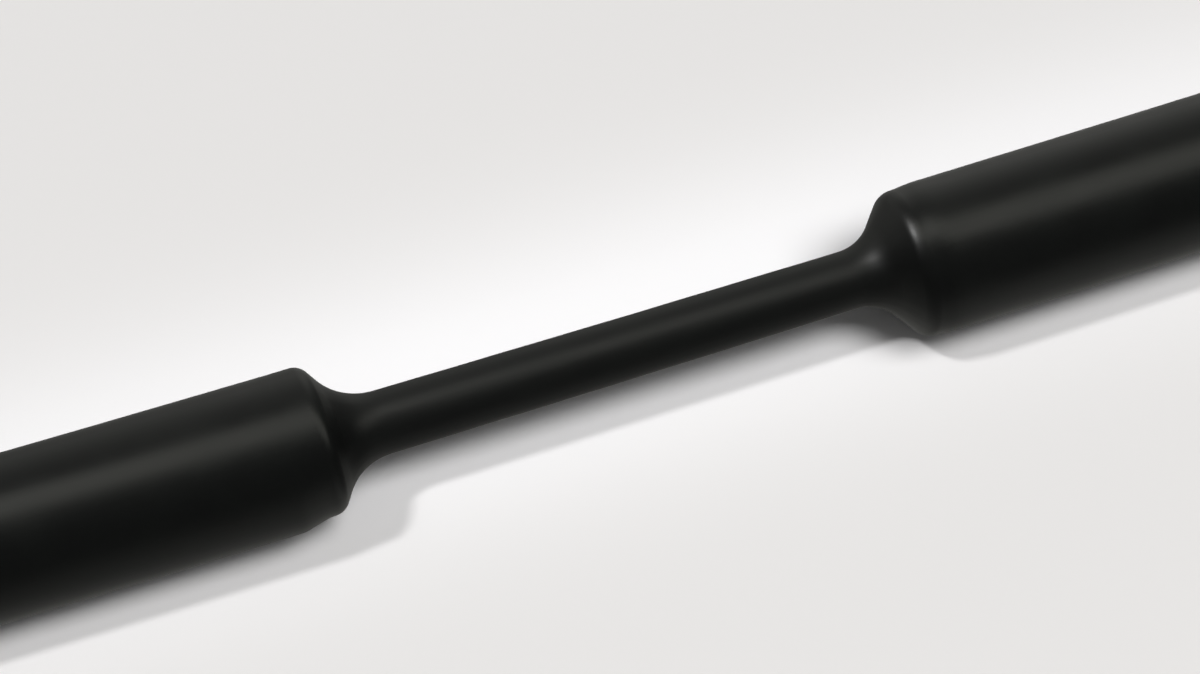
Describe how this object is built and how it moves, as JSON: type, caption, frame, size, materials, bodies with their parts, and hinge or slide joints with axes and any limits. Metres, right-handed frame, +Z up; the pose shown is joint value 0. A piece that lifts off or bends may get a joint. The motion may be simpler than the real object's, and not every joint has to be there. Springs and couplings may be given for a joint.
{
  "type": "heat shrink tube",
  "caption": "Straight round heat shrink tube with a thin wall, its middle shrunk to a narrow neck between two wide lengths with rounded shoulders.",
  "frame": {"origin": "bottom centre of the tube's box: midway between the two cut ends, on the surface that the tube lies on", "axes": "+X along the tube towards the wide length with the gentler shoulder, +Y across it, +Z up"},
  "size_m": [0.3, 0.026, 0.0248],
  "materials": {
    "polyolefin": "satin"
  },
  "bodies": {
    "root": {"heat_shrink_tube": "polyolefin"}
  },
  "joints": []
}
